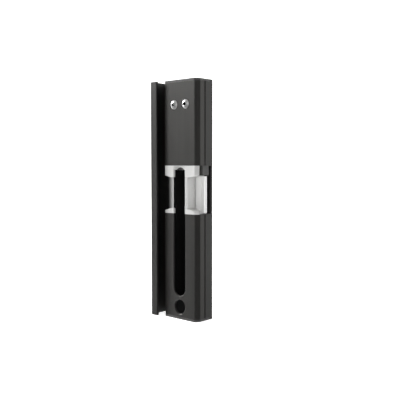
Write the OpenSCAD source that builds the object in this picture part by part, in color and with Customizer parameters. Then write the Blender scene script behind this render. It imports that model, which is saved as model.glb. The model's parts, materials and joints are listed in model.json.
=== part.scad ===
// Electric door strike that is screwed to the face of a gate post.
// X runs across the post, Y runs from the front face (negative) back to the post at Y = 0,
// and Z is up. The origin is on the post face, at mid-width of the covers and at mid-height.
// A gate bolt enters the slot from the front. The jaw on the +X side folds over to let it out.

/* [Body] */
// Height of the strike along the post
body_h = 255; // [254:0.5:262]
// Width of the covers, side to side
body_w = 50; // [50:0.1:51]
// Depth from the post face to the front face
body_d = 24.5; // [24.5:0.1:25]
// Width of the sloping corner beside the front face, seen from the front
corner_w = 3.35; // [3:0.05:3.8]
// Depth of the sloping corner, seen from the side
corner_d = 5.4; // [5:0.1:5.5]
// Wall of the two covers
cover_t = 2.6; // [2.5:0.05:2.6]
// Radius that breaks the long outer edges
edge_r = 0.5; // [0.2:0.1:0.8]
// Thickness of the base floor that lies on the post
floor_t = 4; // [3.8:0.1:4]
// Distance from the post to the front of the parting groove, where a cover ends
groove_front = 12.7; // [12.5:0.1:12.8]
// Distance from the post to the back of the parting groove
groove_back = 10.8; // [10.6:0.1:11]
// Thickness of the plate of an end cap
cap_t = 2.2; // [1.8:0.1:2.4]

/* [Stop] */
// Distance of the stop's outer face from the middle of the strike
stop_reach = 39.5; // [38:0.5:44]
// Distance of the stop's front face from the post
stop_rise = 29; // [28:0.5:32]
// Width of the stop's front lip
lip_w = 9.3; // [8:0.1:9.8]
// Thickness of the stop's front lip
lip_t = 3; // [2.5:0.1:3.5]
// Thickness of the stop's wall
stop_t = 2; // [1.6:0.1:2.4]

/* [Opening] */
// Height of the opening's lower edge
open_low = -14; // [-14.4:0.1:-14]
// Height of the opening's upper edge
open_high = 37; // [37:0.1:37.1]
// Width of the bolt slot
slot_w = 17; // [16.8:0.1:17]
// Place of the bolt slot's centre line across the strike
slot_x = -0.4; // [-0.5:0.1:-0.3]
// Height of the slot's round lower end
slot_low = -102.4; // [-102.5:0.1:-95]
// Height of the slot's round upper end
slot_high = 35.3; // [34.8:0.1:35.4]
// Height of the lintel's lower edge, seen through the slot's round upper end
lintel_low = 32.3; // [31.5:0.1:32.5]
// Distance from the middle of the strike to the near side of the fixed column
column_x = 10.3; // [10.3:0.1:11]
// Width of the fixed column
column_w = 6.9; // [6:0.1:7]
// Depth of the column's front face behind the front of the frame
column_depth = 1.7; // [1.5:0.1:2.2]
// Depth of the frame's front plate
plate_d = 4.6; // [4.4:0.1:5.2]

/* [Fixings] */
// Height of each post bolt above and below the middle
post_bolt_z = 114.2; // [114:0.1:114.4]
// Diameter of the hole that a post bolt goes through
post_bolt_d = 9; // [8.4:0.1:9]
// Diameter of the hole that a post bolt's head goes into
post_head_d = 15.5; // [14:0.1:15.5]
// Height of the two cover screws
cover_screw_z = 101.5; // [101:0.1:102]
// Distance of a cover screw from the middle of the strike
cover_screw_x = 8.3; // [8:0.1:9]
// Thread diameter of a cover screw
cover_screw_d = 5; // [4:0.5:5]
// Head diameter of a cover screw
cover_head_d = 9.8; // [9:0.1:10]

/* [Jaw] */
// Thickness of the jaw's wall
jaw_t = 3.9; // [3.7:0.1:3.9]
// Height of the jaw's lower end
jaw_low = -8.5; // [-8.5:0.1:-8]
// Height of the jaw's upper end
jaw_high = 24.5; // [24:0.1:24.5]
// Radius of the jaw's round hinge edge
knuckle_r = 2.3; // [2.1:0.1:2.3]
// Radius of the jaw's journals
journal_r = 1.8; // [1.6:0.1:1.8]
// Radial clearance of everything that turns on a shaft
run_gap = 0.05; // [0.03:0.01:0.08]

/* [Hidden] */
$fn = 64;

half_w = body_w / 2;
flat_half = half_w - corner_w;
end_z = body_h / 2;
slot_r = slot_w / 2;
fit_gap = 0.1;
slack = 0.5;

// Inner half width between the tongues of the base, and the width of each tongue
bay_half = half_w - 5.1;
tongue_x = half_w - cover_t - fit_gap;
tongue_front = 16;
groove_x = half_w - 0.8;

// The jaw's vertical hinge line, set so that its inner face is just clear of the slot
jaw_x = slot_x + slot_r - 0.3 + jaw_t / 2;
jaw_y = -14.2;
jaw_swing_front = -12;

// Inner floor of the frame, on which the open jaw lies
land_t = 3.5;
land_low = -13;
land_high = 25.8;
arch_r = 8;
arch_front = -body_d + 1.5;
arch_back = arch_front + 1.2;
lintel_front = arch_back + 2.8;
mouth_low = jaw_low - 0.15;
mouth_high = jaw_high + 0.15;
bush_lip = 0.7;
bush_r = 2.8;

// Mechanism above the opening
house_half = bay_half - 0.2;
house_low = open_high + 0.2;
house_high = 88;
house_t = 1.5;
house_front = -20.2;
house_back = -floor_t - fit_gap;
lid_t = 1.35;
tab_low = 26.8;
tab_front = -15.3;
tab_back = -5.7;
tab_in = 16.9;

cam_low = 40;
cam_t = 5;
cam_reach = 6;
cam_tip_r = 1.5;
cam_angle = 120;
shaft_top = 51;

lever_x = -1;
lever_z = 57;
lever_y = -10;
lever_t = 4;
lever_pin_r = 1.25;

coil_x = 11;
coil_y = -12.8;
coil_r = 6.9;
core_r = 3;
yoke_low = 60.5;
yoke_t = 1.8;
yoke_w = 10;
pole_z = 79.6;
hinge_x = 1.1;
hinge_z = 82.5;
armature_t = 1.8;
armature_w = 7.2;
armature_pin_r = 1;
tail_x = -8.4;
tail_t = 2;
tail_low = 61.2;

terminal_low = 89.2;
terminal_h = 7;
wire_y = -8.4;
red_end = [13, -7.4];
black_end = [8, -6.6];
cable_x = 14;
cable_z = 93.6;

base_screw_r = 1.5;
frame_screw_x = 13.5;
frame_screw_low = -11.7;
frame_screw_high = 31;

// Placing helpers: a solid between two heights, and a flat shape or a bore along Y
module upright(low, high) {
  translate([0, 0, low]) linear_extrude(high - low) children();
}
module across(front, back) {
  translate([0, back, 0]) rotate([90, 0, 0]) linear_extrude(back - front) children();
}
module bore_y(x, z, r, front, back) {
  translate([x, back, z]) rotate([90, 0, 0]) cylinder(r = r, h = back - front);
}
module block(x0, x1, y0, y1, z0, z1) {
  translate([x0, y0, z0]) cube([x1 - x0, y1 - y0, z1 - z0]);
}
module area(x0, x1, y0, y1) {
  translate([x0, y0]) square([x1 - x0, y1 - y0]);
}

// Points of the arc that rounds corner b, coming from a and going to c
function corner(a, b, c, r, steps) = r <= 0 ? [b] :
  let (
    u = (a - b) / norm(a - b),
    v = (c - b) / norm(c - b),
    half = acos(u * v) / 2,
    centre = b + (u + v) / norm(u + v) * r / sin(half),
    first = b + u * r / tan(half) - centre,
    last = b + v * r / tan(half) - centre,
    start = atan2(first.y, first.x),
    turn = atan2(last.y, last.x) - start,
    sweep = turn > 180 ? turn - 360 : (turn < -180 ? turn + 360 : turn)
  ) [for (i = [0 : steps]) centre + r * [cos(start + sweep * i / steps), sin(start + sweep * i / steps)]];
function rounded(points, radii, steps = 4) = let (n = len(points))
  [for (i = [0 : n - 1])
    each corner(points[(i + n - 1) % n], points[i], points[(i + 1) % n], radii[i], steps)];

// Outline of the front of the body, from one side over both sloping corners to the other
function shell(inset, back, r) = let (
    slope = norm([corner_w, corner_d]),
    side = half_w - inset,
    shoulder = -(body_d - corner_d) + inset * (slope - corner_d) / corner_w,
    flat = flat_half - inset * (slope - corner_w) / corner_d,
    front = -body_d + inset
  ) rounded([[-side, back], [-side, shoulder], [-flat, front], [flat, front], [side, shoulder], [side, back]],
    [0, r, r, r, r, 0]);

module cover_section() {
  difference() {
    polygon(shell(0, -groove_front, edge_r));
    polygon(shell(cover_t, -groove_front + slack, 0));
  }
}

// One side wall of the base: outer wall, parting groove and the tongue behind the cover
module base_wall_section() {
  area(bay_half, half_w, -groove_back, 0);
  area(bay_half, groove_x, -groove_front, -groove_back + 0.01);
  area(bay_half, tongue_x, -tongue_front, -groove_front + 0.01);
}

module stop_section() {
  outer = -stop_reach;
  inner = outer + stop_t;
  tip = outer + lip_w;
  polygon(rounded(
    [[outer, 0], [outer, -stop_rise], [tip, -stop_rise], [tip, -stop_rise + lip_t],
      [inner, -stop_rise + lip_t], [inner, -floor_t], [inner, 0]],
    [0, 1.2, 0.8, 0.6, 0.8, 0, 0]));
}

module base_screw_places() {
  for (side = [-1, 1]) {
    translate([side * frame_screw_x, 0, frame_screw_low]) children();
    translate([side * frame_screw_x, 0, frame_screw_high]) children();
    translate([side * cover_screw_x, 0, cover_screw_z]) children();
  }
}

module countersink(gap) {
  rotate([90, 0, 0]) {
    cylinder(r = base_screw_r + gap, h = floor_t + 6.5);
    cylinder(r1 = base_screw_r + 1.5 + gap, r2 = base_screw_r + gap, h = 1.5);
  }
}

// Extruded base with the gate stop at its -X edge
module base_profile() {
  color([0.16, 0.16, 0.16])
  difference() {
    union() {
      upright(-end_z, end_z) {
        area(-stop_reach, half_w, -floor_t, 0);
        stop_section();
      }
      upright(-end_z + cap_t, end_z - cap_t) {
        base_wall_section();
        mirror([1, 0]) base_wall_section();
      }
    }
    block(bay_half - slack, half_w + slack, -body_d, -floor_t, open_low, open_high);
    block(bay_half, half_w + slack, -floor_t - slack, -2.4, open_low, open_high);
    block(-half_w - slack, -bay_half + slack, -body_d, -groove_front, open_low, open_high);
    for (side = [-1, 1]) bore_y(0, side * post_bolt_z, post_bolt_d / 2, -floor_t - slack, slack);
    bore_y(cable_x, cable_z, 4.1, -floor_t - slack, slack);
    base_screw_places() countersink(0.05);
  }
}

module button_places() {
  for (side = [-1, 1]) translate([side * cover_screw_x, -body_d, cover_screw_z]) children();
}

module upper_cover() {
  color([0.2, 0.2, 0.19])
  difference() {
    upright(open_high, end_z - cap_t) cover_section();
    button_places() {
      bore_y(0, 0, cover_screw_d / 2 + 0.2, -slack, cover_t + slack);
      bore_y(0, 0, cover_head_d / 2 + 0.2, -slack, 1.2);
    }
  }
}

// Slot with a round lower end and a narrow bevel around its front edge
module cover_slot() {
  round_z = slot_low + slot_r;
  bevel = 0.6;
  bore_y(slot_x, round_z, slot_r, -body_d - slack, -body_d + cover_t + slack);
  block(slot_x - slot_r, slot_x + slot_r, -body_d - slack, -body_d + cover_t + slack,
    round_z, open_low + slack);
  translate([slot_x, -body_d + bevel, round_z]) rotate([90, 0, 0])
    cylinder(r1 = slot_r, r2 = slot_r + bevel, h = bevel);
  upright(round_z, open_low + slack) translate([slot_x, 0])
    polygon([[-slot_r, -body_d + bevel], [-slot_r - bevel, -body_d],
      [slot_r + bevel, -body_d], [slot_r, -body_d + bevel]]);
}

module lower_cover() {
  bevel = 0.6;
  color([0.19, 0.19, 0.18])
  difference() {
    upright(-end_z + cap_t, open_low) cover_section();
    cover_slot();
    bore_y(0, -post_bolt_z, post_head_d / 2, -body_d - slack, -body_d + cover_t + slack);
    translate([0, -body_d + bevel, -post_bolt_z]) rotate([90, 0, 0])
      cylinder(r1 = post_head_d / 2, r2 = post_head_d / 2 + bevel, h = bevel);
  }
}

// Plate that closes one end of the body, with a plug that fills the cover behind it
module end_cap(plug_length) {
  plug_half = bay_half - 0.1;
  upright(end_z - cap_t + 0.05, end_z) polygon(shell(0, -floor_t - 0.05, edge_r));
  upright(end_z - cap_t - plug_length, end_z - cap_t + slack) {
    area(-plug_half, plug_half, -body_d + cover_t + fit_gap, -floor_t - fit_gap);
  }
}

module top_end_cap() {
  color([0.12, 0.12, 0.12]) end_cap(3);
}

module bottom_end_cap() {
  plug_length = 21;
  color([0.12, 0.12, 0.12])
  difference() {
    mirror([0, 0, 1]) end_cap(plug_length);
    bore_y(0, -post_bolt_z, post_head_d / 2, -body_d, 0);
  }
}

// Domed head with a hexagon socket, its underside at the origin, pointing to -Y
module button_screw(head_d, thread_d, length) {
  head_h = 2.6;
  dome_r = (pow(head_d / 2, 2) + pow(head_h - 0.8, 2)) / (2 * (head_h - 0.8));
  translate([0, 1.2, 0])
  rotate([90, 0, 0])
  difference() {
    union() {
      cylinder(d = head_d, h = 0.8);
      intersection() {
        translate([0, 0, 0.8 + (head_h - 0.8) - dome_r]) sphere(r = dome_r, $fn = 96);
        cylinder(d = head_d, h = head_h);
      }
      translate([0, 0, -length]) cylinder(d = thread_d, h = length + 0.1);
    }
    translate([0, 0, 0.4]) cylinder(d = 4, h = head_h, $fn = 6);
  }
}

module cover_screws() {
  color([0.82, 0.82, 0.82]) button_places() button_screw(cover_head_d, cover_screw_d, 10);
}

// Two posts that the upper cover is screwed to
module cover_standoffs() {
  front = -body_d + cover_t + fit_gap;
  back = -floor_t - 0.05;
  color([0.75, 0.75, 0.76])
  for (side = [-1, 1]) {
    difference() {
      bore_y(side * cover_screw_x, cover_screw_z, 4.2, front, back);
      bore_y(side * cover_screw_x, cover_screw_z, cover_screw_d / 2 + 0.05, front - slack, front + 9.5);
      bore_y(side * cover_screw_x, cover_screw_z, base_screw_r + 0.05, back - 6.6, back + slack);
    }
  }
}

module base_screws() {
  color([0.7, 0.7, 0.72])
  base_screw_places() difference() {
    translate([0, -0.1, 0]) rotate([90, 0, 0]) {
      cylinder(r = base_screw_r, h = floor_t + 2);
      cylinder(r1 = base_screw_r + 1.4, r2 = base_screw_r, h = 1.4);
    }
    rotate([90, 0, 0]) cylinder(d = 2, h = 0.9, $fn = 6);
  }
}

// Side notch of the front plate: higher at the outside, so that its long edges slope
module notch() {
  near = slot_r - 0.7;
  bend = 13.3;
  rim = half_w + slack;
  area(near, bend + 0.1, mouth_low, mouth_high);
  polygon([[bend, mouth_low], [rim, mouth_low - 3.6], [rim, mouth_high + 2.6], [bend, mouth_high]]);
}

// Section of the fixed column, undercut on its right side
module column_section() {
  front = -body_d + column_depth;
  back = front + 2;
  polygon([[-column_x - column_w, front], [-column_x, front], [-column_x - 2.1, back],
    [-column_x - column_w, back]]);
}

// Section of the floor that the open jaw lies on, with a round outer edge
module land_section(from, to) {
  front = jaw_swing_front;
  back = front + land_t;
  polygon(rounded([[from, back], [from, front], [to, front], [to, back]], [0, 0, 1.9, 0.4], 6));
}

// Cast frame around the opening, with the floor that the open jaw folds onto
module strike_frame() {
  gap = 0.05;
  low = open_low + gap;
  high = open_high - gap;
  slab_back = -body_d + plate_d;
  back = -floor_t - 0.05;
  block_half = bay_half - 0.3;
  pocket_back = -6.5;
  pocket_x = slot_r + 1.4;
  color([0.86, 0.86, 0.85])
  difference() {
    union() {
      difference() {
        union() {
          upright(low, high) intersection() {
            polygon(shell(0, -groove_front, edge_r));
            area(-half_w, half_w, -body_d, slab_back);
          }
          block(-block_half, block_half, slab_back - slack, back, low, mouth_low);
          block(-block_half, tab_in - 0.2, slab_back - slack, back, mouth_high, high);
        }
        across(-body_d - slack, jaw_swing_front) {
          notch();
          mirror([1, 0]) notch();
        }
        // The slot: open to the top in front, arched behind that, then a dark gap and the lintel
        translate([slot_x, 0, 0]) {
          block(-slot_r, slot_r, -body_d - slack, arch_front, low - slack, high - 0.5);
          bore_y(0, slot_high - arch_r, arch_r, arch_front - 0.01, arch_back);
          block(-slot_r, slot_r, arch_front - 0.01, arch_back, low - slack, lintel_low + 0.3);
          block(-pocket_x, slot_r, arch_back - 0.01, lintel_front, low - slack, high - 0.8);
          block(-pocket_x, slot_r, lintel_front - 0.01, pocket_back, low - slack, lintel_low);
          block(-pocket_x, pocket_x, arch_back, pocket_back, low - slack, mouth_low - 0.2);
        }
      }
      block(-16.5, 16.5, pocket_back, back, low, high);
      upright(land_low, land_high) {
        land_section(jaw_x, half_w - 0.1);
        mirror([1, 0]) land_section(12, block_half);
      }
      upright(mouth_low - 1.5, mouth_high + 1.4) column_section();
    }
    // Hollow seat of the hinge edge, the two bearing bores and the screw holes
    translate([jaw_x, jaw_y, mouth_low]) cylinder(r = knuckle_r + 0.15, h = mouth_high - mouth_low);
    translate([jaw_x, jaw_y, low - slack]) cylinder(r = journal_r + 0.15, h = high - low + 1);
    translate([jaw_x, jaw_y, low - slack])
      cylinder(r = bush_r + 0.02, h = mouth_low - bush_lip - low + slack);
    translate([jaw_x, jaw_y, mouth_high + bush_lip]) cylinder(r = bush_r + 0.02, h = high - mouth_high);
    // Fine line along the floor
    block(20.3, 21.3, jaw_swing_front - slack, jaw_swing_front + 0.7, land_low - slack, land_high + slack);
    for (side = [-1, 1]) for (z = [frame_screw_low, frame_screw_high])
      bore_y(side * frame_screw_x, z, base_screw_r + 0.05, -10.6, 0);
  }
}

// Plastic pocket behind the slot that keeps the post dry and gives the slot its dark inside
module bolt_box() {
  wall = 1.2;
  outer = slot_r + wall + 0.1;
  inner = slot_r + 0.1;
  front = -body_d + cover_t + fit_gap;
  back = -6.6;
  low = slot_low - 1.4;
  color([0.08, 0.08, 0.08])
  translate([slot_x, 0, 0]) {
    difference() {
      block(-outer, outer, front, back, low, open_low - 0.05);
      block(-inner, inner, front - slack, back - wall, low + wall, open_low + slack);
    }
    block(-outer, -inner, front, back, open_low - slack, lintel_low - 0.1);
    block(-outer, -inner, arch_back + 0.1, lintel_front - 0.1, open_low + 0.05, open_high - 1);
    block(-outer, 6.9, back - wall, back, open_low - slack, lintel_low - 0.1);
  }
}

module jaw() {
  color([0.88, 0.88, 0.87])
  union() {
    upright(jaw_low, jaw_high) {
      polygon(rounded([[jaw_x - jaw_t / 2, jaw_y], [jaw_x - jaw_t / 2, -body_d], [jaw_x + jaw_t / 2, -body_d],
        [jaw_x + jaw_t / 2, jaw_y]], [0, 0.6, 0.6, 0]));
    }
    translate([jaw_x, jaw_y, jaw_low]) cylinder(r = knuckle_r, h = jaw_high - jaw_low);
    translate([jaw_x, jaw_y, open_low + 0.3]) cylinder(r = journal_r, h = shaft_top - open_low);
  }
}

module jaw_bushes() {
  color([0.78, 0.6, 0.3])
  for (span = [[open_low + 0.2, mouth_low - bush_lip - 0.1], [mouth_high + bush_lip + 0.1, open_high - 0.1]])
    translate([jaw_x, jaw_y, span[0]]) difference() {
      cylinder(r = bush_r, h = span[1] - span[0]);
      translate([0, 0, -slack]) cylinder(r = journal_r + run_gap, h = span[1] - span[0] + 1);
    }
}

// Cam on top of the jaw's shaft; its heel rests against the locking lever
module jaw_cam() {
  heel_half = cam_tip_r - 0.3;
  color([0.6, 0.6, 0.62])
  translate([jaw_x, jaw_y, cam_low])
  difference() {
    union() {
      cylinder(r = 3.4, h = cam_t);
      rotate([0, 0, cam_angle]) {
        translate([cam_reach, 0, 0]) cylinder(r = cam_tip_r, h = cam_t);
        translate([2.5, -heel_half, 0]) cube([cam_reach - 2.5, 2 * heel_half, cam_t]);
      }
    }
    translate([0, 0, -slack]) cylinder(r = journal_r + 0.02, h = cam_t + 1);
  }
}

// Round wire wound on a helix about Z, rising from the origin
module helix(coil_radius, wire_r, turns, height) {
  around = 8;
  steps = ceil(turns * 18);
  points = [for (i = [0 : steps], j = [0 : around - 1])
    let (a = 360 * turns * i / steps, b = 360 * j / around, reach = coil_radius + wire_r * cos(b))
    [reach * cos(a), reach * sin(a), height * i / steps + wire_r * sin(b)]];
  sides = [for (i = [0 : steps - 1], j = [0 : around - 1])
    let (k = (j + 1) % around)
    [i * around + j, (i + 1) * around + j, (i + 1) * around + k, i * around + k]];
  first = [for (j = [0 : around - 1]) j];
  last = [for (j = [around - 1 : -1 : 0]) steps * around + j];
  polyhedron(points, concat(sides, [first, last]), convexity = 10);
}

module jaw_spring() {
  color([0.72, 0.72, 0.74])
  translate([jaw_x, jaw_y, cam_low + cam_t + 0.5]) helix(2.7, 0.35, 5, 4.4);
}

module mechanism_housing() {
  color([0.11, 0.11, 0.11])
  difference() {
    union() {
      difference() {
        block(-house_half, house_half, house_front, house_back, house_low, house_high);
        block(-house_half + house_t, house_half - house_t, house_front - slack, house_back - house_t,
          house_low + house_t, house_high - house_t);
      }
      block(tab_in, half_w - 0.1, tab_front, tab_back, tab_low, open_high - 0.1);
      block(tab_in, house_half, tab_front, tab_back, open_high - slack, house_low + house_t);
      for (z = [43, 83]) bore_y(-15.4, z, 2.3, house_front, house_back - 0.1);
    }
    translate([jaw_x, jaw_y, house_low - slack]) cylinder(r = journal_r + 0.4, h = house_t + 1);
    bore_y(lever_x, lever_z, lever_pin_r + 0.02, house_back - house_t - slack, house_back + slack);
    for (z = [43, 83]) bore_y(-15.4, z, 1.05, house_front - slack, house_front + 8);
    for (end = [black_end, red_end])
      translate([end.x, end.y, house_high - house_t - slack]) cylinder(r = 0.8, h = house_t + 1);
  }
}

module housing_lid() {
  color([0.13, 0.13, 0.13])
  difference() {
    block(-house_half, house_half, house_front - lid_t, house_front - 0.05, house_low, house_high);
    for (z = [43, 83]) bore_y(-15.4, z, 1.1, house_front - lid_t - slack, house_front + slack);
    bore_y(lever_x, lever_z, lever_pin_r + 0.02, house_front - lid_t - slack, house_front + slack);
  }
}

module lid_screws() {
  color([0.7, 0.7, 0.72])
  for (z = [43, 83]) difference() {
    bore_y(-15.4, z, 1, house_front - lid_t - 0.2, house_front + 6);
    bore_y(-15.4, z, 0.45, house_front - lid_t - slack, house_front - 0.5);
  }
}

// Lever that holds the cam's heel with its lower tooth; its upper arm is held by the armature
module locking_lever() {
  tooth_right = jaw_x + cam_reach * cos(cam_angle) - cam_tip_r - 0.15;
  front = lever_y - lever_t / 2;
  back = lever_y + lever_t / 2;
  arm_top = tail_low - 0.3;
  tooth_low = cam_low + 0.3;
  color([0.66, 0.66, 0.68])
  difference() {
    union() {
      across(front, back) {
        polygon([[tooth_right, tooth_low], [tooth_right, tooth_low + 1.9],
          [tooth_right - 1.1, cam_low + cam_t + 0.6], [lever_x + 2.3, lever_z - 1.2],
          [lever_x - 2.3, lever_z - 1.2], [tooth_right - 3.5, cam_low + cam_t],
          [tooth_right - 3.5, tooth_low]]);
        polygon([[lever_x, lever_z - 2.6], [lever_x, lever_z + 2.6], [-5.6, arm_top], [-7.9, arm_top],
          [-7.9, arm_top - 2.2], [-5, lever_z]]);
      }
      bore_y(lever_x, lever_z, 2.6, front, back);
    }
    bore_y(lever_x, lever_z, lever_pin_r + run_gap, front - slack, back + slack);
  }
}

module lever_pin() {
  color([0.75, 0.75, 0.77])
  bore_y(lever_x, lever_z, lever_pin_r, house_front - lid_t + 0.1, house_back - 0.2);
}

module lever_spring() {
  color([0.72, 0.72, 0.74])
  translate([lever_x, lever_y - lever_t / 2 - 0.6, lever_z]) rotate([90, 0, 0]) helix(2, 0.3, 5, 5);
}

// Angled armature: the plate over the pole is drawn down, and the tail swings off the lever
module armature() {
  front = coil_y - armature_w / 2;
  back = coil_y + armature_w / 2;
  low = hinge_z - armature_t / 2;
  high = hinge_z + armature_t / 2;
  color([0.62, 0.62, 0.64])
  difference() {
    union() {
      across(front, back) {
        area(tail_x, 17, low, high);
        polygon([[tail_x, high], [tail_x, tail_low],
          [tail_x + tail_t, tail_low + 1.2], [tail_x + tail_t, high]]);
      }
      bore_y(hinge_x, hinge_z, 2, front, back);
    }
    bore_y(hinge_x, hinge_z, armature_pin_r + run_gap, front - slack, back + slack);
  }
}

module armature_pin() {
  color([0.75, 0.75, 0.77])
  bore_y(hinge_x, hinge_z, armature_pin_r, coil_y - yoke_w / 2 - 0.4, coil_y + yoke_w / 2 + 0.4);
}

module armature_spring() {
  color([0.72, 0.72, 0.74])
  translate([-4, coil_y, hinge_z + armature_t / 2 + 0.35]) helix(1.8, 0.25, 3, 2.45);
}

module coil_yoke() {
  front = coil_y - yoke_w / 2;
  back = coil_y + yoke_w / 2;
  left = hinge_x - yoke_t / 2;
  ear_t = (yoke_w - armature_w) / 2 - 0.2;
  color([0.5, 0.5, 0.52])
  difference() {
    union() {
      block(left, coil_x + coil_r + 0.2, front, back, yoke_low, yoke_low + yoke_t);
      block(left, left + yoke_t, front, back, yoke_low, hinge_z - 2.3);
      for (y = [front, back - ear_t]) {
        block(left, left + yoke_t, y, y + ear_t, hinge_z - 3, hinge_z);
        bore_y(hinge_x, hinge_z, 2, y, y + ear_t);
      }
    }
    translate([coil_x, coil_y, yoke_low - slack]) cylinder(r = 2.02, h = yoke_t + 1);
    bore_y(hinge_x, hinge_z, armature_pin_r + 0.02, front - slack, back + slack);
  }
}

module coil_core() {
  color([0.58, 0.58, 0.6])
  translate([coil_x, coil_y, 0]) {
    translate([0, 0, yoke_low + yoke_t + 0.02]) cylinder(r = core_r, h = pole_z - yoke_low - yoke_t - 0.02);
    translate([0, 0, yoke_low - 0.3]) cylinder(r = 2, h = yoke_t + slack);
  }
}

module coil_bobbin() {
  low = yoke_low + yoke_t + 0.1;
  high = pole_z - 1.2;
  flange = 1.1;
  color([0.92, 0.9, 0.84])
  translate([coil_x, coil_y, 0])
  difference() {
    union() {
      translate([0, 0, low]) cylinder(r = core_r + 0.9, h = high - low);
      for (z = [low, high - flange]) translate([0, 0, z]) cylinder(r = coil_r, h = flange);
    }
    translate([0, 0, low - slack]) cylinder(r = core_r + 0.05, h = high - low + 1);
  }
}

module coil_winding() {
  low = yoke_low + yoke_t + 1.3;
  high = pole_z - 2.4;
  color([0.72, 0.38, 0.2])
  translate([coil_x, coil_y, low])
  difference() {
    cylinder(r = coil_r - 0.7, h = high - low);
    translate([0, 0, -slack]) cylinder(r = core_r + 0.95, h = high - low + 1);
  }
}

module terminal_block() {
  color([0.9, 0.9, 0.88])
  difference() {
    block(-10, 8, -15, -floor_t - fit_gap, terminal_low, terminal_low + terminal_h);
    for (x = [-5.5, 3.5]) {
      bore_y(x, terminal_low + 4, 1.9, -15 - slack, -9);
      translate([x, wire_y, terminal_low - slack]) cylinder(r = 1, h = 4.2);
    }
  }
}

module terminal_screws() {
  color([0.8, 0.75, 0.55])
  for (x = [-5.5, 3.5]) difference() {
    bore_y(x, terminal_low + 4, 1.8, -14.2, -9.2);
    block(x - 2, x + 2, -14.5, -13.4, terminal_low + 3.7, terminal_low + 4.3);
  }
}

module suppression_diode() {
  z = terminal_low + 4;
  color([0.1, 0.1, 0.1])
  translate([-3.6, -17.2, z]) rotate([0, 90, 0]) cylinder(r = 1.3, h = 5.2);
  color([0.1, 0.1, 0.1])
  for (x = [-5.5, 3.5]) bore_y(x, z, 0.35, -17.2, -14.3);
  color([0.1, 0.1, 0.1])
  translate([-5.5, -17.2, z]) rotate([0, 90, 0]) cylinder(r = 0.35, h = 9);
  color([0.1, 0.1, 0.1])
  for (x = [-5.5, 3.5]) translate([x, -17.2, z]) sphere(r = 0.35, $fn = 24);
}

// Wire through a list of points, with a round swelling at each bend
module wire(points, r) {
  bend_r = 1.12 * r;
  for (i = [0 : len(points) - 2]) {
    run = points[i + 1] - points[i];
    translate(points[i]) rotate([0, acos(run.z / norm(run)), atan2(run.y, run.x)])
      cylinder(r = r, h = norm(run));
  }
  for (i = [1 : len(points) - 2]) translate(points[i]) sphere(r = bend_r);
}

// Lead from a terminal, over the housing's top and down through it to the bobbin
module lead_wire(terminal_x, end) {
  run_z = house_high + 0.55;
  wire([[terminal_x, wire_y, terminal_low + 3], [terminal_x, wire_y, run_z], [end.x, end.y, run_z],
    [end.x, end.y, pole_z - 1.1]], 0.45);
}

module lead_wire_red() {
  color([0.7, 0.1, 0.08]) lead_wire(3.5, red_end);
}

module lead_wire_black() {
  color([0.08, 0.08, 0.08]) lead_wire(-5.5, black_end);
}

module cable_grommet() {
  color([0.1, 0.1, 0.1])
  difference() {
    union() {
      bore_y(cable_x, cable_z, 4.05, -floor_t - slack, -0.1);
      bore_y(cable_x, cable_z, 5.2, -floor_t - 1.6, -floor_t - 0.05);
    }
    bore_y(cable_x, cable_z, 2.5, -floor_t - 3, slack);
  }
}

base_profile();
upper_cover();
lower_cover();
top_end_cap();
bottom_end_cap();
cover_screws();
cover_standoffs();
base_screws();
strike_frame();
bolt_box();
jaw();
jaw_bushes();
jaw_cam();
jaw_spring();
mechanism_housing();
housing_lid();
lid_screws();
locking_lever();
lever_pin();
lever_spring();
armature();
armature_pin();
armature_spring();
coil_yoke();
coil_core();
coil_bobbin();
coil_winding();
terminal_block();
terminal_screws();
suppression_diode();
lead_wire_red();
lead_wire_black();
cable_grommet();
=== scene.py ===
"""Looks of an electric door strike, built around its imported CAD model.

The CAD model stands on the shared frame: X across the post, Y into the post, Z up, in metres.
The larger nodes get a copy whose sharp edges are rounded. The springs and the coil's winding
get wire that is really wound. All other nodes keep their CAD mesh. Every piece has a procedural
material. The camera looks at the front from the jaw's side.
"""
import json
import math

import bmesh
import bpy
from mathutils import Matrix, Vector


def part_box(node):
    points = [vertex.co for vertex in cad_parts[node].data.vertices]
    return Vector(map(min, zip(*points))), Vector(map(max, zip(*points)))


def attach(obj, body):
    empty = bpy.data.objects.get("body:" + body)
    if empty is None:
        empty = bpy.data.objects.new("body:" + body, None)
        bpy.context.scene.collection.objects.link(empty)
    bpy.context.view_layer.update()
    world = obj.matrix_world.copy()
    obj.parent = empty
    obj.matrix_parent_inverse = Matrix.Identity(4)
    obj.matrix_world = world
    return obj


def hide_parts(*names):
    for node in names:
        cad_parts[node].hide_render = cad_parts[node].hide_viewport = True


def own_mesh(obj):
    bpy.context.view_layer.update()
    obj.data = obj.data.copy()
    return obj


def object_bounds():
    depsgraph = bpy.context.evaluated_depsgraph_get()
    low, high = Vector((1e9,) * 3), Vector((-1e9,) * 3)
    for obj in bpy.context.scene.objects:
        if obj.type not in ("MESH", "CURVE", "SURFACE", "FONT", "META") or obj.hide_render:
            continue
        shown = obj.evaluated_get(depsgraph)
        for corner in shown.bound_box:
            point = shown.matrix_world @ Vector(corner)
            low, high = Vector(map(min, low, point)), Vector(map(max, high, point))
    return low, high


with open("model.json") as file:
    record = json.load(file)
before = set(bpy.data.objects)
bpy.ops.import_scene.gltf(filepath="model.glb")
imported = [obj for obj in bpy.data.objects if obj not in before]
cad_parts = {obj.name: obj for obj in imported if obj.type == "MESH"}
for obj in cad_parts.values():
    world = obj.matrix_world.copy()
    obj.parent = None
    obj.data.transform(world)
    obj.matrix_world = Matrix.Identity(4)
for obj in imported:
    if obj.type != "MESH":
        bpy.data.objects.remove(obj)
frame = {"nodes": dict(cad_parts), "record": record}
CAD_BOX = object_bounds()
NODES = frame["nodes"]
NODE_BODY = {
    node: body
    for body, members in frame["record"]["behaviour"]["bodies"].items()
    for node in members
}
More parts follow.
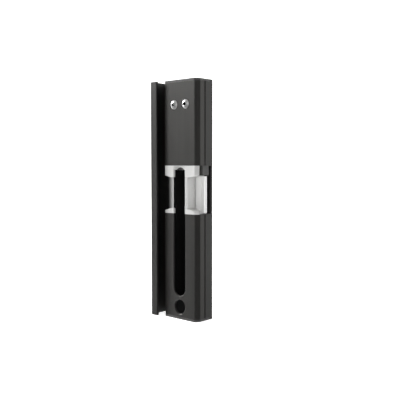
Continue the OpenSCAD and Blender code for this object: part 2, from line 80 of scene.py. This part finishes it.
SLOTS = {part["node"]: part["material_slot"] for part in frame["record"]["subparts"]}
MM = 0.001

# Sizes and places on the part that the materials need
SCREW_HEAD_RADIUS = 4.9 * MM
SOCKET_RADIUS = 2.1 * MM
CAP_PLATE = 2.2 * MM
FLOOR_Y = -12 * MM
FLOOR_TOP_Z = 25.8 * MM
RECESS_HEIGHT = 5 * MM
# Painted shadow on the set-back column at the gate side, darker away from the slot: axis, start,
# stop
COLUMN_PAINTED_SHADOW = (
    ("Y", -24.2 * MM, -23.9 * MM),
    ("X", -10 * MM, -16.5 * MM),
)

# Colours in linear RGB
# Painted shade on the end caps' plugs inside the cover
PLUG_SHADE = (0.004, 0.004, 0.004)
# Painted shade down in the screws' hexagon sockets
SOCKET_SHADE = (0.015, 0.015, 0.016)
WORN_ANODISING = (0.3, 0.3, 0.29)
RUBBED_PLATING = (0.8, 0.8, 0.79)
# Painted shadow: the dark tone of the plating where the column lies in shade
PAINTED_SHADOW_PLATING = (0.09, 0.09, 0.088)
# Painted light on the floor that the jaw folds onto
PAINTED_LIGHT_FLOOR = (0.82, 0.82, 0.81)
# Painted shade in the recess behind the arch
PAINTED_SHADE_RECESS = (0.1, 0.1, 0.098)
AMBER_WIRE = (0.5, 0.17, 0.05)
BRIGHT_WIRE = (0.72, 0.32, 0.11)
PAPER = (0.93, 0.93, 0.93)
WHITE = (1, 1, 1, 1)

# Width of the rounded edges in millimetres, for the nodes that get a softened copy
SOFT_WIDTHS = {
    "base_profile": 0.25,
    "upper_cover": 0.25,
    "lower_cover": 0.22,
    "top_end_cap": 0.6,
    "bottom_end_cap": 0.8,
    "strike_frame": 0.3,
    "jaw": 0.3,
    "mechanism_housing": 0.25,
    "housing_lid": 0.2,
    "bolt_box": 0.15,
    "cover_screws": 0.12,
}
WELD_DISTANCE = 0.002 * MM
FLAT_ANGLE = math.radians(0.5)
SHARP_ANGLE = math.radians(32)
EDGE_SEGMENTS = 3

# Wire coils: axis of the helix, wire radius in millimetres and number of turns
ALONG_Y, ALONG_Z = 1, 2
COILS = {
    "jaw_spring": (ALONG_Z, 0.35, 5),
    "lever_spring": (ALONG_Y, 0.3, 5),
    "armature_spring": (ALONG_Z, 0.25, 3),
    "coil_winding": (ALONG_Z, 0.25, 26),
}
WIRE_SIDES = 10
STEPS_PER_TURN = 36

# Camera: direction and distance from its target, focal length and sensor in millimetres
AZIMUTH = math.radians(42.35)
ELEVATION = math.radians(3.25)
DISTANCE = 0.691
LENS = 57.4
SENSOR_WIDTH = 36
TARGET = Vector((0.0072, 0.0, -0.0002))

# Soft lights of the studio: azimuth from -Y towards +X, elevation, the angles within which
# the light is full and beyond which it is gone, all in degrees, and strength
SOFT_LIGHTS = [
    (-71, 24, 2, 7, 200.0),
    (-75, -12, 2, 7, 33.0),
    (138, 15, 12, 45, 1.35),
    (30, 5, 10, 30, 2.2),
    (10, 75, 20, 60, 0.45),
    (16, -2, 2, 9, 3.0),
    (-95, -48, 8, 28, 5.0),
    (180, -45, 8, 30, 4.0),
    (0, -90, 20, 45, 3.0),
]
ROOM_LIGHT = 0.04
PAPER_GLOW = 0.8
OVERHEAD_PLACE = Vector((0.3, -0.3, 2.2))
OVERHEAD_SIZE = 2.2
OVERHEAD_POWER = 20

# Backdrop in metres: how far its floor lies below the strike, its reach along the view, the
# radius of its bend, its height and its half width
FLOOR_DROP = 0.0005
BACKDROP_NEAR = -3.0
BACKDROP_FAR = 2.2
BACKDROP_RADIUS = 0.9
BACKDROP_TOP = 4.0
BACKDROP_HALF_WIDTH = 5.0
BACKDROP_STEPS = 24


# ---------------------------------------------------------------- material helpers

def scaled(tone, factor):
    """A tone made darker or brighter."""
    return tuple(factor * channel for channel in tone)


class Shader:
    """A small wrapper that builds one material's node tree."""

    # Sockets of the Mix node when it mixes colours
    COLOR_A, COLOR_B, MIXED_COLOR = 6, 7, 2
    # Range in which nearly all of a noise texture's values lie
    NOISE_LOW, NOISE_HIGH = 0.3, 0.7
    MASK_EDGE = 0.2 * MM
    WORN_WIDTH = 0.4 * MM

    def __init__(self, name):
        self.material = bpy.data.materials.new(name)
        self.material.use_nodes = True
        self.tree = self.material.node_tree
        self.surface = self.tree.nodes["Principled BSDF"]
        self.place = self.add("ShaderNodeTexCoord").outputs["Object"]

    def add(self, kind, **settings):
        """A new node of a kind, with settings such as its operation."""
        node = self.tree.nodes.new(kind)
        for key, value in settings.items():
            setattr(node, key, value)
        return node

    def join(self, source, target):
        """Links an output to an input."""
        self.tree.links.new(source, target)

    def axes(self):
        """The X, Y and Z coordinates in the part's own space."""
        node = self.add("ShaderNodeSeparateXYZ")
        self.join(self.place, node.inputs[0])
        return node.outputs

    def noise(self, cycles, detail):
        """Noise with a number of cycles per metre: one for all axes, or a triple."""
        mapping = self.add("ShaderNodeMapping")
        scale = cycles if isinstance(cycles, tuple) else (cycles, cycles, cycles)
        mapping.inputs["Scale"].default_value = scale
        self.join(self.place, mapping.inputs["Vector"])
        texture = self.add("ShaderNodeTexNoise")
        texture.inputs["Scale"].default_value = 1.0
        texture.inputs["Detail"].default_value = detail
        self.join(mapping.outputs["Vector"], texture.inputs["Vector"])
        return texture.outputs["Fac"]

    def span(self, source, low, high, start=NOISE_LOW, stop=NOISE_HIGH):
        """A value remapped so that start to stop becomes low to high, and clamped."""
        node = self.add("ShaderNodeMapRange")
        node.inputs["From Min"].default_value = start
        node.inputs["From Max"].default_value = stop
        node.inputs["To Min"].default_value = low
        node.inputs["To Max"].default_value = high
        self.join(source, node.inputs["Value"])
        return node.outputs["Result"]

    def blend(self, factor, first, second):
        """A colour between first and second, by factor."""
        node = self.add("ShaderNodeMix", data_type="RGBA")
        self.join(factor, node.inputs["Factor"])
        for value, socket in ((first, self.COLOR_A), (second, self.COLOR_B)):
            if isinstance(value, tuple):
                node.inputs[socket].default_value = (*value, 1.0)
            else:
                self.join(value, node.inputs[socket])
        return node.outputs[self.MIXED_COLOR]

    def clouded(self, noise, darkest, tone, brightest):
        """A tone that drifts with a noise between two shares of itself."""
        return self.blend(self.span(noise, 0, 1), scaled(tone, darkest), scaled(tone, brightest))

    def bump(self, height, distance, strength, under=None):
        """A normal bent by a height, on top of another bump if there is one."""
        node = self.add("ShaderNodeBump")
        node.inputs["Distance"].default_value = distance
        node.inputs["Strength"].default_value = strength
        self.join(height, node.inputs["Height"])
        if under is not None:
            self.join(under, node.inputs["Normal"])
        return node.outputs["Normal"]

    def compute(self, operation, *sources):
        """The result of a Math node, fed with outputs or plain numbers."""
        node = self.add("ShaderNodeMath", operation=operation)
        for source, target in zip(sources, node.inputs):
            if isinstance(source, float):
                target.default_value = source
            else:
                self.join(source, target)
        return node.outputs[0]

    def product(self, factors):
        """All the factors multiplied together."""
        total, *others = factors
        for factor in others:
            total = self.compute("MULTIPLY", total, factor)
        return total

    def inside(self, low, high):
        """1 within a box of the part's own space and 0 outside it."""
        sides = []
        for axis, start, stop in zip(self.axes(), low, high):
            sides.append(self.span(axis, 0.0, 1.0, start - self.MASK_EDGE, start))
            sides.append(self.span(axis, 0.0, 1.0, stop + self.MASK_EDGE, stop))
        return self.product(sides)

    def edge_wear(self):
        """1 on sharp outer edges and 0 on flat faces, from a bevelled normal."""
        bevel = self.add("ShaderNodeBevel", samples=4)
        bevel.inputs["Radius"].default_value = self.WORN_WIDTH
        geometry = self.add("ShaderNodeNewGeometry")
        dot = self.add("ShaderNodeVectorMath", operation="DOT_PRODUCT")
        self.join(bevel.outputs["Normal"], dot.inputs[0])
        self.join(geometry.outputs["Normal"], dot.inputs[1])
        return self.span(dot.outputs["Value"], 1.0, 0.0, 0.8, 0.99)

    def finish(self, color, rough, normal, metallic=0.0, specular=0.5):
        """The material, with its colour, roughness and normal joined to the surface."""
        for source, name in ((color, "Base Color"), (rough, "Roughness"), (normal, "Normal")):
            if isinstance(source, tuple):
                self.surface.inputs[name].default_value = (*source, 1.0)
            elif isinstance(source, float):
                self.surface.inputs[name].default_value = source
            else:
                self.join(source, self.surface.inputs[name])
        self.surface.inputs["Metallic"].default_value = metallic
        self.surface.inputs["Specular IOR Level"].default_value = specular
        return self.material


# ---------------------------------------------------------------- materials

def anodised(name, tone):
    """Black anodised extrusion: faint draw lines along Z, a fine etched grain, pale worn edges."""
    shader = Shader(name)
    draw_lines = shader.noise((900, 900, 6), 3)
    grain = shader.noise(5200, 2)
    base = shader.clouded(shader.noise((28, 28, 14), 3), 0.92, tone, 1.06)
    lined = shader.blend(shader.span(draw_lines, 0, 0.4), base, scaled(tone, 1.25))
    worn = shader.blend(shader.span(shader.edge_wear(), 0, 0.3, 0, 1), lined, WORN_ANODISING)
    roughness = shader.span(draw_lines, 0.39, 0.47)
    normal = shader.bump(draw_lines, 0.01 * MM, 0.4, shader.bump(grain, 0.006 * MM, 0.5))
    return shader.finish(worn, roughness, normal, metallic=0.9, specular=0.4)


def cast_silver(name, tone, rough, painted_zones=(), painted_shadow=()):
    """Nickel-plated casting: fine blasted grain, soft cloudy tone, brighter rubbed edges.

    A painted zone is a box of the part's space, low and high corner, that has a tone of its own:
    painted light or painted shade. Painted-shadow ramps, each an axis, a start and a stop,
    together mark where a painted shadow darkens the plating.
    """
    shader = Shader(name)
    grain = shader.noise(3800, 3)
    scuff = shader.noise((260, 260, 1900), 3)
    color = shader.clouded(shader.noise((70, 70, 60), 4), 0.92, tone, 1)
    # Each zone paints its tone: painted light or painted shade
    for low, high, painted_tone in painted_zones:
        color = shader.blend(shader.inside(low, high), color, painted_tone)
    color = shader.blend(shader.span(shader.edge_wear(), 0, 0.6, 0, 1), color, RUBBED_PLATING)
    # Painted shadow on the set-back column, where the ramps meet
    if painted_shadow:
        shadow_patch = shader.product(
            [shader.span(shader.axes()[axis], 0.0, 1.0, start, stop) for axis, start, stop in painted_shadow]
        )
        color = shader.blend(shadow_patch, color, PAINTED_SHADOW_PLATING)
    roughness = shader.span(scuff, rough - 0.06, rough + 0.08)
    return shader.finish(color, roughness, shader.bump(grain, 0.02 * MM, 0.55), metallic=0.45)


def moulded(name, tone, rough, specular=0.45):
    """Moulded plastic or rubber: spark-eroded texture and a slight variation of tone."""
    shader = Shader(name)
    texture = shader.noise(2600, 2)
    base = shader.clouded(shader.noise(60, 2), 0.85, tone, 1.12)
    roughness = shader.span(texture, rough - 0.05, rough + 0.05)
    return shader.finish(base, roughness, shader.bump(texture, 0.015 * MM, 0.6), specular=specular)


def steel(name, tone, rough):
    """Machined or plated metal with fine tool marks along Z."""
    shader = Shader(name)
    marks = shader.noise((1500, 1500, 90), 3)
    base = shader.clouded(shader.noise(90, 2), 0.88, tone, 1)
    roughness = shader.span(marks, rough - 0.06, rough + 0.1)
    return shader.finish(base, roughness, shader.bump(marks, 0.01 * MM, 0.5), metallic=1.0)


def end_cap_plastic(name, tone, rough):
    """Painted outside like the covers; near-black painted shade on the plug inside the cover,
    which is matt.
    """
    shader = Shader(name)
    texture = shader.noise(2600, 2)
    plate_z = CAD_BOX[1][2] - CAP_PLATE
    height = shader.compute("ABSOLUTE", shader.axes()["Z"])
    outside = shader.span(height, 0.0, 1.0, plate_z - 0.3 * MM, plate_z)
    painted = shader.blend(texture, scaled(tone, 0.9), scaled(tone, 1.1))
    # Painted shade on the plug inside the cover, paint on the outside
    base = shader.blend(outside, PLUG_SHADE, painted)
    roughness = shader.span(outside, 0.85, rough, 0, 1)
    return shader.finish(base, roughness, shader.bump(texture, 0.012 * MM, 0.5), specular=0.45)


def socket_screw(name, tone, node):
    """Stainless heads side by side, with painted shade down in their hexagon sockets."""
    low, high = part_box(node)
    shader = Shader(name)
    marks = shader.noise(1500, 3)
    axes = shader.axes()
    head_x = high[0] - SCREW_HEAD_RADIUS
    head_z = (low[2] + high[2]) / 2
    across = shader.compute("SUBTRACT", shader.compute("ABSOLUTE", axes["X"]), head_x)
    up = shader.compute("SUBTRACT", axes["Z"], head_z)
    squares = [shader.compute("MULTIPLY", distance, distance) for distance in (across, up)]
    radius = shader.compute("SQRT", shader.compute("ADD", *squares))
    in_socket = shader.span(radius, 1.0, 0.0, SOCKET_RADIUS, 1.12 * SOCKET_RADIUS)
    deep = shader.span(axes["Y"], 0.0, 1.0, low[1] + 0.5 * MM, low[1] + 0.9 * MM)
    # Painted shade in the deep part of each socket
    base = shader.blend(shader.product([in_socket, deep]), tone, SOCKET_SHADE)
    roughness = shader.span(marks, 0.4, 0.5)
    return shader.finish(base, roughness, shader.bump(marks, 0.01 * MM, 0.5), metallic=1.0)


def enamelled_copper(name):
    """Copper wire under a thin clear enamel, whose tone drifts between amber and copper."""
    shader = Shader(name)
    drift = shader.noise((240, 240, 900), 3)
    base = shader.blend(shader.span(drift, 0, 1), AMBER_WIRE, BRIGHT_WIRE)
    shader.surface.inputs["Coat Weight"].default_value = 0.6
    shader.surface.inputs["Coat Roughness"].default_value = 0.12
    return shader.finish(base, 0.32, shader.bump(drift, 0.01 * MM, 0.4), metallic=0.85)


def frame_painted_zones():
    """Painted light brightens the floor that the jaw folds onto, painted shade darkens the recess
    behind the arch.
    """
    box_low, box_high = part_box("bolt_box")
    jaw_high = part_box("jaw")[1]
    frame_low, frame_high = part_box("strike_frame")
    # Painted light on the floor that the jaw folds onto
    floor = (
        (jaw_high[0], FLOOR_Y - MM, frame_low[2]),
        (frame_high[0], FLOOR_Y + 3 * MM, FLOOR_TOP_Z),
        PAINTED_LIGHT_FLOOR,
    )
    # Painted shade in the recess behind the arch
    recess = (
        (box_low[0], box_low[1] + 0.4 * MM, box_high[2] - RECESS_HEIGHT),
        (box_high[0], FLOOR_Y, frame_high[2]),
        PAINTED_SHADE_RECESS,
    )
    return floor, recess


MATERIALS = {
    "base_profile": anodised("Anodised base", (0.053, 0.0525, 0.051)),
    "covers": anodised("Anodised covers", (0.059, 0.058, 0.0555)),
    "end_caps": end_cap_plastic("End cap plastic", (0.05, 0.05, 0.048), 0.45),
    "cover_screws": socket_screw("Stainless screws", (0.4, 0.4, 0.396), "cover_screws"),
    "cover_standoffs": steel("Turned aluminium", (0.75, 0.75, 0.76), 0.3),
    "base_screws": steel("Zinc plated screws", (0.7, 0.71, 0.73), 0.3),
    "strike_frame": cast_silver(
        "Plated frame", (0.66, 0.66, 0.648), 0.36, painted_zones=frame_painted_zones(), painted_shadow=COLUMN_PAINTED_SHADOW
    ),
    # Near black with little sheen: the black plastic, and painted shade inside the slot
    "bolt_box": moulded("Bolt box plastic", (0.003, 0.003, 0.003), 0.8, specular=0.12),
    "jaw": cast_silver("Plated jaw", (0.6, 0.6, 0.59), 0.33),
    "jaw_bushes": steel("Bronze bushes", (0.72, 0.52, 0.26), 0.3),
    "steel_parts": steel("Stamped steel", (0.6, 0.6, 0.62), 0.32),
    "springs": steel("Spring wire", (0.62, 0.62, 0.64), 0.25),
    "housing": moulded("Housing plastic", (0.045, 0.045, 0.043), 0.5),
    "magnet_iron": steel("Zinc plated iron", (0.55, 0.56, 0.58), 0.34),
    "coil_bobbin": moulded("Bobbin nylon", (0.8, 0.76, 0.64), 0.42),
    "coil_winding": enamelled_copper("Copper winding"),
    "terminal_block": moulded("Terminal plastic", (0.78, 0.78, 0.74), 0.4),
    "terminal_screws": steel("Terminal screws", (0.8, 0.72, 0.5), 0.28),
    "suppression_diode": moulded("Diode body", (0.02, 0.02, 0.02), 0.3),
    "lead_wire_red": moulded("Red insulation", (0.5, 0.02, 0.015), 0.35),
    "lead_wire_black": moulded("Black insulation", (0.015, 0.015, 0.015), 0.35),
    "cable_grommet": moulded("Grommet rubber", (0.02, 0.02, 0.02), 0.65),
}


# ---------------------------------------------------------------- pieces

def paint(piece, node):
    """Gives a piece the material and the material slot of its node."""
    slot = SLOTS[node]
    piece.data.materials.clear()
    piece.data.materials.append(MATERIALS[slot])


def stand_in(piece, node):
    """Makes a piece stand for a node and move with the node's body."""
    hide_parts(node)
    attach(piece, NODE_BODY[node])
    paint(piece, node)


def bake(piece):
    """Applies the piece's modifiers to its mesh."""
    bpy.context.view_layer.update()
    depsgraph = bpy.context.evaluated_depsgraph_get()
    mesh = bpy.data.meshes.new_from_object(piece.evaluated_get(depsgraph))
    piece.modifiers.clear()
    piece.data = mesh


def soften(node, width):
    """A copy of a CAD node, welded and with its sharp edges rounded, that stands for the node."""
    piece = NODES[node].copy()
    piece.data = NODES[node].data.copy()
    piece.name = "soft_" + node
    for key in list(piece.keys()):
        del piece[key]
    piece.parent = None
    bpy.context.scene.collection.objects.link(piece)
    mesh = bmesh.new()
    mesh.from_mesh(piece.data)
    bmesh.ops.remove_doubles(mesh, verts=mesh.verts, dist=WELD_DISTANCE)
    bmesh.ops.dissolve_limit(
        mesh, angle_limit=FLAT_ANGLE, verts=mesh.verts, edges=mesh.edges, delimit={"NORMAL"}
    )
    for face in mesh.faces:
        face.smooth = True
    mesh.to_mesh(piece.data)
    mesh.free()
    bevel = piece.modifiers.new("Round edges", "BEVEL")
    bevel.width = width
    bevel.segments = EDGE_SEGMENTS
    bevel.limit_method = "ANGLE"
    bevel.angle_limit = SHARP_ANGLE
    bevel.miter_outer = "MITER_ARC"
    bevel.use_clamp_overlap = True
    weighted = piece.modifiers.new("Flat faces stay flat", "WEIGHTED_NORMAL")
    weighted.mode = "FACE_AREA"
    weighted.weight = 100
    bake(piece)
    stand_in(piece, node)


def wind(node, axis, wire_radius, turns):
    """A round wire wound on a helix, which fills a CAD coil's box and stands for the coil."""
    low, high = (Vector(corner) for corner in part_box(node))
    middle = (low + high) / 2
    reach = (high.x - low.x) / 2 - wire_radius
    length = (high - low)[axis] - 2 * wire_radius
    steps = turns * STEPS_PER_TURN
    mesh = bmesh.new()
    rings = []
    for i in range(steps + 1):
        turn = 2 * math.pi * turns * i / steps
        along = length * (i / steps - 0.5)
        ring = []
        for j in range(WIRE_SIDES):
            around = 2 * math.pi * j / WIRE_SIDES
            out = reach + wire_radius * math.cos(around)
            rise = along + wire_radius * math.sin(around)
            point = Vector((out * math.cos(turn), out * math.sin(turn), rise))
            if axis == ALONG_Y:
                point = Vector((point.x, -point.z, point.y))
            ring.append(mesh.verts.new(middle + point))
        rings.append(ring)
    for first, second in zip(rings, rings[1:]):
        for j in range(WIRE_SIDES):
            k = (j + 1) % WIRE_SIDES
            mesh.faces.new((first[j], second[j], second[k], first[k])).smooth = True
    mesh.faces.new(rings[0])
    mesh.faces.new(rings[-1][::-1])
    bmesh.ops.recalc_face_normals(mesh, faces=mesh.faces)
    data = bpy.data.meshes.new("wound_" + node)
    mesh.to_mesh(data)
    mesh.free()
    piece = bpy.data.objects.new("wound_" + node, data)
    bpy.context.scene.collection.objects.link(piece)
    stand_in(piece, node)
    return piece


def build_pieces():
    """Gives every node its visible piece: a softened copy, wound wire or its own CAD mesh."""
    for node, width in SOFT_WIDTHS.items():
        soften(node, width * MM)
    coils = {
        node: wind(node, axis, wire_radius * MM, turns)
        for node, (axis, wire_radius, turns) in COILS.items()
    }
    # The armature presses on the lower end of its spring, whose upper end stays in place
    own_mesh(coils["armature_spring"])
    for node, cad in NODES.items():
        if node not in SOFT_WIDTHS and node not in COILS:
            paint(cad, node)


# ---------------------------------------------------------------- stage, light and camera

def facing(direction):
    """The rotation that points a camera's or a lamp's front along a direction."""
    return direction.to_track_quat("-Z", "Y").to_euler()


def direction_of(across, up):
    """The unit vector at an azimuth from -Y towards +X and an elevation, in radians."""
    return Vector((
        math.sin(across) * math.cos(up),
        -math.cos(across) * math.cos(up),
        math.sin(up),
    ))


def backdrop():
    """A pale floor that curves up into a backdrop behind the strike.

    It glows to the camera only, and lets the lights from below pass.
    """
    floor_z = CAD_BOX[0][2] - FLOOR_DROP
    profile = [(BACKDROP_NEAR, floor_z), (BACKDROP_FAR, floor_z)]
    for i in range(1, BACKDROP_STEPS + 1):
        angle = math.pi / 2 * i / BACKDROP_STEPS
        y = BACKDROP_FAR + BACKDROP_RADIUS * math.sin(angle)
        z = floor_z + BACKDROP_RADIUS * (1 - math.cos(angle))
        profile.append((y, z))
    profile.append((BACKDROP_FAR + BACKDROP_RADIUS, BACKDROP_TOP))
    sides = (-BACKDROP_HALF_WIDTH, BACKDROP_HALF_WIDTH)
    mesh = bmesh.new()
    rows = [[mesh.verts.new((x, y, z)) for x in sides] for y, z in profile]
    for low, high in zip(rows, rows[1:]):
        mesh.faces.new((low[0], low[1], high[1], high[0])).smooth = True
    data = bpy.data.meshes.new("backdrop")
    mesh.to_mesh(data)
    mesh.free()
    paper = bpy.data.objects.new("backdrop", data)
    bpy.context.scene.collection.objects.link(paper)
    paper.rotation_euler = (0, 0, AZIMUTH)
    shader = Shader("Pale paper")
    seen = shader.add("ShaderNodeLightPath").outputs["Is Camera Ray"]
    shader.surface.inputs["Emission Color"].default_value = WHITE
    shader.join(shader.span(seen, 0, PAPER_GLOW, 0, 1), shader.surface.inputs["Emission Strength"])
    normal = shader.bump(shader.noise(300, 3), 0.05 * MM, 0.2)
    data.materials.append(shader.finish(PAPER, 0.9, normal, specular=0.1))
    paper.visible_glossy = False
    paper.visible_shadow = False


def studio_world():
    """White to the camera. To everything else a dim room with soft lights, by direction."""
    world = bpy.data.worlds.new("studio")
    world.use_nodes = True
    tree = world.node_tree
    tree.nodes.clear()
    direction = tree.nodes.new("ShaderNodeTexCoord").outputs["Generated"]
    total = None
    for azimuth, elevation, inner, outer, strength in SOFT_LIGHTS:
        dot = tree.nodes.new("ShaderNodeVectorMath")
        dot.operation = "DOT_PRODUCT"
        dot.inputs[1].default_value = direction_of(math.radians(azimuth), math.radians(elevation))
        tree.links.new(direction, dot.inputs[0])
        lobe = tree.nodes.new("ShaderNodeMapRange")
        lobe.interpolation_type = "SMOOTHSTEP"
        lobe.inputs["From Min"].default_value = math.cos(math.radians(outer))
        lobe.inputs["From Max"].default_value = math.cos(math.radians(inner))
        lobe.inputs["To Max"].default_value = strength
        tree.links.new(dot.outputs["Value"], lobe.inputs["Value"])
        add = tree.nodes.new("ShaderNodeMath")
        add.inputs[1].default_value = ROOM_LIGHT
        tree.links.new(lobe.outputs["Result"], add.inputs[0])
        if total is not None:
            tree.links.new(total, add.inputs[1])
        total = add.outputs[0]
    room = tree.nodes.new("ShaderNodeBackground")
    white = tree.nodes.new("ShaderNodeBackground")
    for background in (room, white):
        background.inputs["Color"].default_value = WHITE
    tree.links.new(total, room.inputs["Strength"])
    mix = tree.nodes.new("ShaderNodeMixShader")
    tree.links.new(tree.nodes.new("ShaderNodeLightPath").outputs["Is Camera Ray"], mix.inputs[0])
    tree.links.new(room.outputs[0], mix.inputs[1])
    tree.links.new(white.outputs[0], mix.inputs[2])
    output = tree.nodes.new("ShaderNodeOutputWorld")
    tree.links.new(mix.outputs[0], output.inputs["Surface"])
    bpy.context.scene.world = world


def overhead_light():
    """A large lamp above the strike that points at the frame's origin."""
    light = bpy.data.lights.new("overhead", "AREA")
    light.shape = "SQUARE"
    light.size = OVERHEAD_SIZE
    light.energy = OVERHEAD_POWER
    holder = bpy.data.objects.new("overhead", light)
    holder.location = OVERHEAD_PLACE
    holder.rotation_euler = facing(-OVERHEAD_PLACE)
    bpy.context.scene.collection.objects.link(holder)


def main_camera():
    """The scene's camera, which looks at the target from the jaw's side."""
    lens = bpy.data.cameras.new("camera")
    lens.lens = LENS
    lens.sensor_width = SENSOR_WIDTH
    away = direction_of(AZIMUTH, ELEVATION)
    camera = bpy.data.objects.new("camera", lens)
    camera.location = TARGET + DISTANCE * away
    camera.rotation_euler = facing(-away)
    bpy.context.scene.collection.objects.link(camera)
    bpy.context.scene.camera = camera


build_pieces()
backdrop()
main_camera()
studio_world()
overhead_light()
bpy.context.scene.view_settings.view_transform = "Standard"
